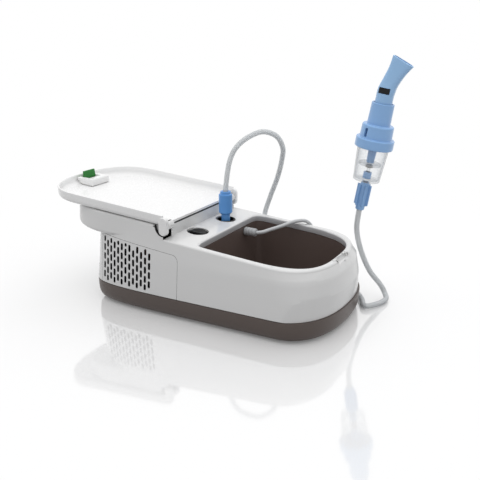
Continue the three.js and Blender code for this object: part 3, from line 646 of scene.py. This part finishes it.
# ------------------------------------------------------------------ lid, built closed and swung open about the hinge
OPEN = Matrix.Translation((HX, 0, HZ)) @ Matrix.Rotation(math.pi, 4, "Y") @ Matrix.Translation((-HX, 0, -HZ))
half = [(HX + 0.3, 40), (220, 40), (220, 130), (HX + 0.3, 130)]
lid_rings = [ring(RIM, 1.3, lambda x: top(x) - LID_D + 0.05), ring(RIM, 0.6, lambda x: top(x) - LID_D + 0.25), ring(RIM, 0.3, lambda x: top(x) - LID_D + 0.9),
             ring(RIM, 0.5, lambda x: top(x) - 4.4)]
for k in range(1, 7):
    a = math.pi / 2 * k / 6
    lid_rings.append(ring(RIM, 0.5 + 4.2 * (1 - math.cos(a)), lambda x, a=a: top(x) - 4.4 + 4.4 * math.sin(a)))
lid = loft("lid_skin", lid_rings)
lid_in = [ring(RIM, 1.2, lambda x: top(x) - LID_D - 3), ring(RIM, 1.5, lambda x: top(x) - LID_D - 0.1), ring(RIM, 2.0, lambda x: top(x) - LID_D + 0.4), ring(RIM, 2.6, lambda x: top(x) - LID_D + 1.6)]
for k in range(0, 9):
    a = math.pi / 2 * k / 8
    lid_in.append(ring(RIM, 3.4 + 9.0 * (1 - math.cos(a)), lambda x, a=a: top(x) - 7.0 + 4.6 * math.sin(a)))
cut(lid, loft("li", lid_in))
boolean(lid, prism("hf", half, -120, 120), "INTERSECT")
drop(bpy.data.objects["hf"])


def capsule(w, h, cx, cz, n=16):
    r, s = w / 2, h / 2 - w / 2
    return [(cx + r * math.cos(math.pi * i / n), cz + s + r * math.sin(math.pi * i / n)) for i in range(n + 1)] + \
           [(cx + r * math.cos(math.pi + math.pi * i / n), cz - s + r * math.sin(math.pi + math.pi * i / n)) for i in range(n + 1)]


for s in (1, -1):
    def yy(a, b):
        return (a, b) if s > 0 else (-b, -a)
    cut(lid, pin("kc", 5.2, *yy(59.4, 71.0), HX, HZ))
    ear = prism("ear", capsule(10, 19.6, HX, HZ - 0.3), *yy(71.0, 76.0))
    bev = ear.modifiers.new("b", "BEVEL")
    bev.width, bev.segments, bev.limit_method = 0.9, 3, "ANGLE"
    me = bpy.data.meshes.new_from_object(ear.evaluated_get(bpy.context.evaluated_depsgraph_get()))
    ear.modifiers.clear()
    ear.data = me
    join(lid, ear)
    cut(lid, pin("lb", 2.8, *yy(70, 74.6), HX, HZ, 32))
finish_piece(spin(lid, OPEN), "lid_shell", "lid", LIDMAT, 34)

zb = top(117) - 2.7


def bevelled(ob, width, seg=3, angle=0.5):
    m = ob.modifiers.new("bevel", "BEVEL")
    m.width, m.segments, m.limit_method, m.angle_limit = width, seg, "ANGLE", angle
    me = bpy.data.meshes.new_from_object(ob.evaluated_get(bpy.context.evaluated_depsgraph_get()))
    ob.modifiers.clear()
    ob.data = me
    return ob


latch = prism("latch_block", [(104, zb + 0.9), (120.5, zb - 0.6), (125.4, zb - 4.6), (126, zb - 8), (105, zb - 7.2), (104, zb - 6)], -15.5, 15.5)
cut(latch, block("ls", 112, 128, -9.9, 9.9, zb - 12, zb - 5))
finish_piece(spin(bevelled(latch, 0.5), OPEN), "latch_housing", "lid", LIDMAT, 34)
button = prism("latch_tongue", [(119.4, zb - 5.4), (124.8, zb - 5.4), (124.8, zb - 7.6), (122.6, zb - 8.4), (122.6, zb - 14.5), (120.4, zb - 14.5), (119.4, zb - 8.4)], -9.5, 9.5)
finish_piece(spin(bevelled(button, 0.35), OPEN), "latch_button", "latch", GREEN, 34)

# ------------------------------------------------------------------ switch, outlet and plug
DECKM = Matrix.Translation((*SWITCH, deck(SWITCH[0]))) @ Matrix.Rotation(math.atan(SLOPE), 4, "Y")
bezel = lathe("switch_ring", soften([(10.2, -1.8), (11.5, -1.8), (11.5, -14), (10.2, -14)], 0.4))
finish_piece(spin(bezel, DECKM), "switch_bezel", "housing", BLACK, 40)
rocker = pin("rocker_cap", 9.2, -9, 5, 0, 0, 72, "Z")
saddle = []
for i in range(21):
    u = -10 + i
    saddle.append((u, -0.9 + 2.2 * (abs(u) / 10) ** 1.25))
form = prism("rf", saddle + [(10, -5.4), (-10, -5.4)], -12, 12)
spin(form, Matrix.Rotation(math.pi / 2, 4, "Z"))
boolean(rocker, form, "INTERSECT")
drop(form)
bevelled(rocker, 0.35, 2, 0.6)
spin(rocker, Matrix.Translation((0, 0, -1.6)) @ Matrix.Rotation(math.radians(-6), 4, "X") @ Matrix.Translation((0, 0, 1.6)))
finish_piece(spin(rocker, DECKM), "rocker_switch", "rocker", BLACK, 34)

socket = lathe("outlet_cup", soften([(1.3, 72), (2.4, 72), (2.4, 76), (11, 76), (11, 83.0), (9.4, 83.0), (9.4, 78), (2.4, 78), (2.2, 95), (1.3, 95)], 0.4))
finish_piece(spin(socket, Matrix.Translation((*OUTLET, 0))), "outlet_socket", "housing", BLACK, 40)
plug = lathe("air_plug", soften([(2.8, 79.6), (5, 79.6), (5, 88.6), (7.75, 91.2), (7.75, 112), (6.2, 112.6), (6.0, 115.5), (3.2, 115.5), (3.2, 104.2), (1.4, 102.6), (1.4, 98), (2.8, 96.5)], 0.5), 96)
# shallow grip flutes round the plug body
for v in plug.data.vertices:
    r = math.hypot(v.co.x, v.co.y)
    if r > 7 and 92 < v.co.z < 111.4:
        a = math.atan2(v.co.y, v.co.x)
        k = 1 - 0.045 * max(0, math.cos(a * 8)) ** 4
        v.co.x *= k
        v.co.y *= k
finish_piece(spin(plug, Matrix.Translation((*OUTLET, 0))), "tube_plug", "tube_set", BLUE, 40)

# ------------------------------------------------------------------ tube and hand set
HM = Matrix.Translation(HAND) @ Matrix.Rotation(TILT, 4, "Y")


def hp(d):
    return tuple(HM @ Vector((0, 0, d)))


TUBE = [(*OUTLET, 104.8), (*OUTLET, 116), (-18, 32, 151.5), (-11, 36, 166.5), (0, 45, 177), (11.4, 55, 181.4),
        (22.8, 66, 175.7), (27, 74, 161.7), (23.4, 80, 147), (15.3, 86, 124), (4.4, 90.4, 99.3), (-4.3, 93, 74.4), (-6, 94, 40), (-4, 94, 14),
        (8, 92.8, 4.6), (30, 91, 3.4), (60, 89.6, 3.4), (88, 88.6, 3.4), (105, 86.4, 3.4), (116, 80.6, 3.4), (125, 72.5, 3.4), (132.6, 62, 3.4),
        (137.8, 51.6, 3.4), (141.3, 43.6, 3.4), (145.6, 42.4, 3.4), (151, 49, 3.4), (157, 62, 3.4), (157.4, 75, 3.7), (153.8, 80.6, 6.8), (149.5, 80, 14.7),
        (137.5, 72, 33.2), (128.2, 64, 59.4), (124.6, 57.8, 83.4), hp(-4), hp(9.4)]
finish_piece(sweep("air_tube_skin", TUBE, 2.9, 1.9, 460, 20), "air_tube", "tube_set", TUBING, 60, False)

conn = lathe("connector", soften([(3.2, 0), (4.6, 0), (4.9, 3), (5.2, 27), (4.2, 30.5), (2.9, 30.5), (2.9, 12), (1.3, 10.6), (1.3, 10.4), (3.2, 10)], 0.3), 64)
for i in range(6):
    fin = bevelled(prism("fin", [(3.9, 4), (7.6, 5.2), (7.6, 27.5), (4.0, 27.5)], -0.8, 0.8), 0.25, 2)
    join(conn, spin(fin, Matrix.Rotation(math.pi * i / 3, 4, "Z")))
finish_piece(spin(conn, HM), "cup_connector", "tube_set", SKY, 34)
cup = lathe("clear_cup", soften([(1.2, 17.8), (2.5, 17.8), (2.5, 32.6), (13.9, 32.6), (16.3, 67.0), (17.2, 67.0), (17.2, 68.4), (15.1, 68.4), (12.8, 34.4), (2.3, 34.4), (1.8, 46), (1.2, 46)], 0.5), 96)
finish_piece(spin(cup, HM), "nebulizer_cup", "tube_set", CLEAR, 40)
nozzle = lathe("jet_cone", soften([(2.7, 34.8), (4.4, 34.8), (4.2, 41.5), (2.7, 41.5)], 0.3), 48)
finish_piece(spin(nozzle, HM), "jet_nozzle", "tube_set", SKY, 40)
baffle = lathe("baffle_disc", soften([(2.3, 49), (11.8, 49), (11.8, 51.4), (2.3, 51.4)], 0.4), 64)
finish_piece(spin(baffle, HM), "baffle_ring", "tube_set", CLEAR, 40)
hub = lathe("baffle_hub", soften([(2.3, 46.4), (3.8, 46.4), (3.8, 48.95), (2.3, 48.95)], 0.3), 48)
finish_piece(spin(hub, HM), None, "tube_set", BAFFLE, 40)
stem = lathe("baffle_post", soften([(0, 51.8), (3.9, 51.8), (4.6, 68.2), (0, 68.2)], 0.4), 48)
finish_piece(spin(stem, HM), "baffle_stem", "cap", SKY, 40)
cap = lathe("cup_cap", soften([(17.6, 68.0), (19.5, 68.0), (19.75, 69), (19.75, 77.2), (19.2, 78), (16.6, 78), (16.2, 90.8), (15.4, 92), (11.9, 92), (11.5, 114), (9.7, 114), (9.7, 91.6), (14, 89.8), (14.4, 71), (17.6, 71)], 0.7), 96)
window = spin(bevelled(block("cs", -1.7, 1.7, -24, -12, 79.5, 88.5), 0.9, 3), Matrix.Rotation(math.radians(-25), 4, "Z"))
cut(cap, window)
finish_piece(spin(cap, HM), "nebulizer_cap", "cap", SKY, 34)


def oval(cx, w, d, z, lean, e, n=56):
    pts = []
    for i in range(n):
        t = 2 * math.pi * i / n
        c, s = math.cos(t), math.sin(t)
        x, y = w * math.copysign(abs(c) ** (2 / e), c), d * math.copysign(abs(s) ** (2 / e), s)
        pts.append((cx + x * math.cos(lean), y, z - x * math.sin(lean)))
    return pts


keys = [(0, 9.2, 9.2, 100, 0, 2), (0, 8.8, 8.8, 118, 0, 2), (0.3, 8.9, 8.4, 126, BEND / 2, 2.2)]
for d, w, t, e in ((8, 8.4, 6.3, 2.8), (20, 9.2, 4.9, 3.2), (31, 11.6, 4.3, 3.4)):
    keys.append((math.sin(BEND) * d, w, t, 128 + math.cos(BEND) * d, BEND, e))


def along(keys, shrink, sub=7):
    rows = []
    for i in range(len(keys) - 1):
        p = [keys[max(i - 1, 0)], keys[i], keys[i + 1], keys[min(i + 2, len(keys) - 1)]]
        for k in range(sub):
            t = k / sub
            v = [0.5 * (2 * b + (c - a) * t + (2 * a - 5 * b + 4 * c - d) * t * t + (3 * b - a - 3 * c + d) * t ** 3) for a, b, c, d in zip(*p)]
            rows.append(v)
    rows.append(list(keys[-1]))
    return [oval(cx, w - shrink, d - shrink, z, lean, max(2, e)) for cx, w, d, z, lean, e in rows]


tipx, tipz = math.sin(BEND), math.cos(BEND)
mout = along(keys, 0)
for a in (0.5, 1.0, 1.57):
    d = 31 + 0.6 * math.sin(a)
    mout.append(oval(tipx * d, 11.6 - 0.6 * (1 - math.cos(a)), 4.3 - 0.6 * (1 - math.cos(a)), 128 + tipz * d, BEND, 3.4))
mouth_out = fix(loft("mouthpiece_skin", mout))
kin = [(0, 9.2, 9.2, 97, 0, 2)] + keys[1:]
mouth_in = fix(loft("mi", along(kin, 1.5) + [oval(tipx * 35, 10.2, 2.9, 128 + tipz * 35, BEND, 3.4)]))
cut(mouth_out, mouth_in)
cut(mouth_out, bevelled(block("vs", -5.8, 5.8, -12, -3.8, 123.6, 129.6), 0.5, 2))
finish_piece(spin(mouth_out, HM), "mouthpiece", "mouthpiece_body", PALE, 34)
flap = bevelled(block("valve_leaf", -5.4, 5.4, -7.6, -7.0, 124.0, 129.2), 0.2, 2)
finish_piece(spin(flap, HM), "exhale_valve_flap", "valve", BLACK, 34)

# ------------------------------------------------------------------ mains cord and strain relief
prof = [(2.4, -8.5), (5.6, -8.5), (5.6, -5.9), (3.8, -5.9), (3.8, -2.0)]
for i in range(4):
    x = -2.0 + i * 3.6
    r = 4.9 - i * 0.12
    prof += [(r, x), (r, x + 2.4), (4.1, x + 2.4), (4.1, x + 3.6)]
prof.append((2.4, 12.4))
boot = lathe("strain_relief", soften(prof, 0.5, 3), 56)
finish_piece(spin(boot, Matrix.Translation((0, 38.5, 68.5)) @ Matrix.Rotation(math.pi / 2, 4, "Y")), "cord_boot", "housing", BOOT, 40)
CORD_LINE = [(-26, 38.5, 68.5), (-8.5, 38.5, 68.5), (4, 38.5, 68.5), (12.6, 38.6, 68.6), (19, 40, 69.6), (26.3, 45, 72.2), (37, 52.6, 76), (45, 60.5, 79.2),
             (50.4, 66, 80.6), (57.4, 72.4, 80.2), (61.4, 78.4, 75.2), (62.7, 82.6, 67.2), (62.9, 88, 52), (62.5, 93.5, 36), (61.5, 97.5, 22), (60, 99.8, 9),
             (56, 102, 2.7), (44, 106, 2.6), (24, 108.8, 2.6)]
finish_piece(sweep("mains_cord", CORD_LINE, 2.1, 0, 220, 20), "power_cord", "housing", CORD, 60, False)

# ------------------------------------------------------------------ stage, light and camera
bpy.ops.mesh.primitive_plane_add(size=14, location=(0, 0, -0.0002))
floor = bpy.context.object
floor.name = "floor"
fm = bpy.data.materials.new("floor_white")
fm.use_nodes = True
fn, fl = fm.node_tree.nodes, fm.node_tree.links
fb = fn["Principled BSDF"]
fb.inputs["Base Color"].default_value = (0.93, 0.93, 0.935, 1)
fb.inputs["Roughness"].default_value = 0.6
fb.inputs["Specular IOR Level"].default_value = 0.0
shine = fn.new("ShaderNodeBsdfGlossy")
shine.inputs["Color"].default_value = (1, 1, 1, 1)
shine.inputs["Roughness"].default_value = 0.06
sheen = fn.new("ShaderNodeMixShader")
sheen.inputs[0].default_value = 0.34
fl.new(fb.outputs[0], sheen.inputs[1])
fl.new(shine.outputs[0], sheen.inputs[2])
glow = fn.new("ShaderNodeEmission")
glow.inputs["Strength"].default_value = 1.0
spot = fn.new("ShaderNodeNewGeometry")
far = fn.new("ShaderNodeVectorMath")
far.operation = "LENGTH"
fl.new(spot.outputs["Position"], far.inputs[0])
fade = fn.new("ShaderNodeMapRange")
fade.interpolation_type = "SMOOTHSTEP"
fade.inputs["From Min"].default_value, fade.inputs["From Max"].default_value = 0.12, 0.60
fade.inputs["To Min"].default_value = 0.12
fl.new(far.outputs["Value"], fade.inputs["Value"])
blend = fn.new("ShaderNodeMixShader")
fl.new(fade.outputs["Result"], blend.inputs[0])
fl.new(sheen.outputs[0], blend.inputs[1])
fl.new(glow.outputs[0], blend.inputs[2])
lpath = fn.new("ShaderNodeLightPath")
bounce = fn.new("ShaderNodeBsdfDiffuse")
bounce.inputs["Color"].default_value = (0.34, 0.34, 0.345, 1)
kind = fn.new("ShaderNodeMixShader")
fl.new(lpath.outputs["Is Diffuse Ray"], kind.inputs[0])
fl.new(blend.outputs[0], kind.inputs[1])
fl.new(bounce.outputs[0], kind.inputs[2])
fl.new(kind.outputs[0], fn["Material Output"].inputs["Surface"])
floor.data.materials.append(fm)

SKY_LOW, SKY_HIGH = 0.22, 1.20
world = bpy.data.worlds.new("studio")
bpy.context.scene.world = world
world.use_nodes = True
wn, wl = world.node_tree.nodes, world.node_tree.links
sky = wn["Background"]
sky.inputs[0].default_value = (1, 1, 1, 1)
coord = wn.new("ShaderNodeTexCoord")
split = wn.new("ShaderNodeSeparateXYZ")
wl.new(coord.outputs["Generated"], split.inputs[0])
rise = wn.new("ShaderNodeMapRange")
rise.inputs["From Min"].default_value, rise.inputs["From Max"].default_value = 0.0, 0.9
rise.inputs["To Min"].default_value, rise.inputs["To Max"].default_value = SKY_LOW, SKY_HIGH
wl.new(split.outputs["Z"], rise.inputs["Value"])
path = wn.new("ShaderNodeLightPath")
pick = wn.new("ShaderNodeMix")
pick.data_type = "FLOAT"
seen = wn.new("ShaderNodeMath")
seen.operation = "MAXIMUM"
wl.new(path.outputs["Is Camera Ray"], seen.inputs[0])
wl.new(path.outputs["Is Glossy Ray"], seen.inputs[1])
wl.new(seen.outputs[0], pick.inputs[0])
wl.new(rise.outputs["Result"], pick.inputs[2])
pick.inputs[3].default_value = 1.0
wl.new(pick.outputs[0], sky.inputs[1])


def area(name, loc, target, size, power):
    d = bpy.data.lights.new(name, "AREA")
    d.size, d.energy, d.shape = size, power, "SQUARE"
    o = bpy.data.objects.new(name, d)
    bpy.context.scene.collection.objects.link(o)
    o.location = loc
    o.rotation_euler = (Vector(target) - Vector(loc)).to_track_quat("-Z", "Y").to_euler()
    o.visible_glossy = size < 1
    return o


area("key", (-0.5, -0.7, 1.7), (0, 0, 0.05), 1.2, 3)
area("fill", (1.5, -0.7, 0.9), (0, 0, 0.08), 1.4, 1.2)
area("back", (0.2, 1.4, 1.4), (0, 0, 0.08), 1.4, 5)

cam = bpy.data.cameras.new("camera")
cam.lens, cam.sensor_width, cam.clip_start = 50.365, 36, 0.01
co = bpy.data.objects.new("camera", cam)
bpy.context.scene.collection.objects.link(co)
co.location = ((345.6 + OX) / 1000, (-616.2 + OY) / 1000, 0.2934)
co.rotation_euler = (-Vector((0.4539, -0.8379, 0.3033))).to_track_quat("-Z", "Y").to_euler()
bpy.context.scene.camera = co
bpy.context.scene.view_settings.view_transform = "Standard"
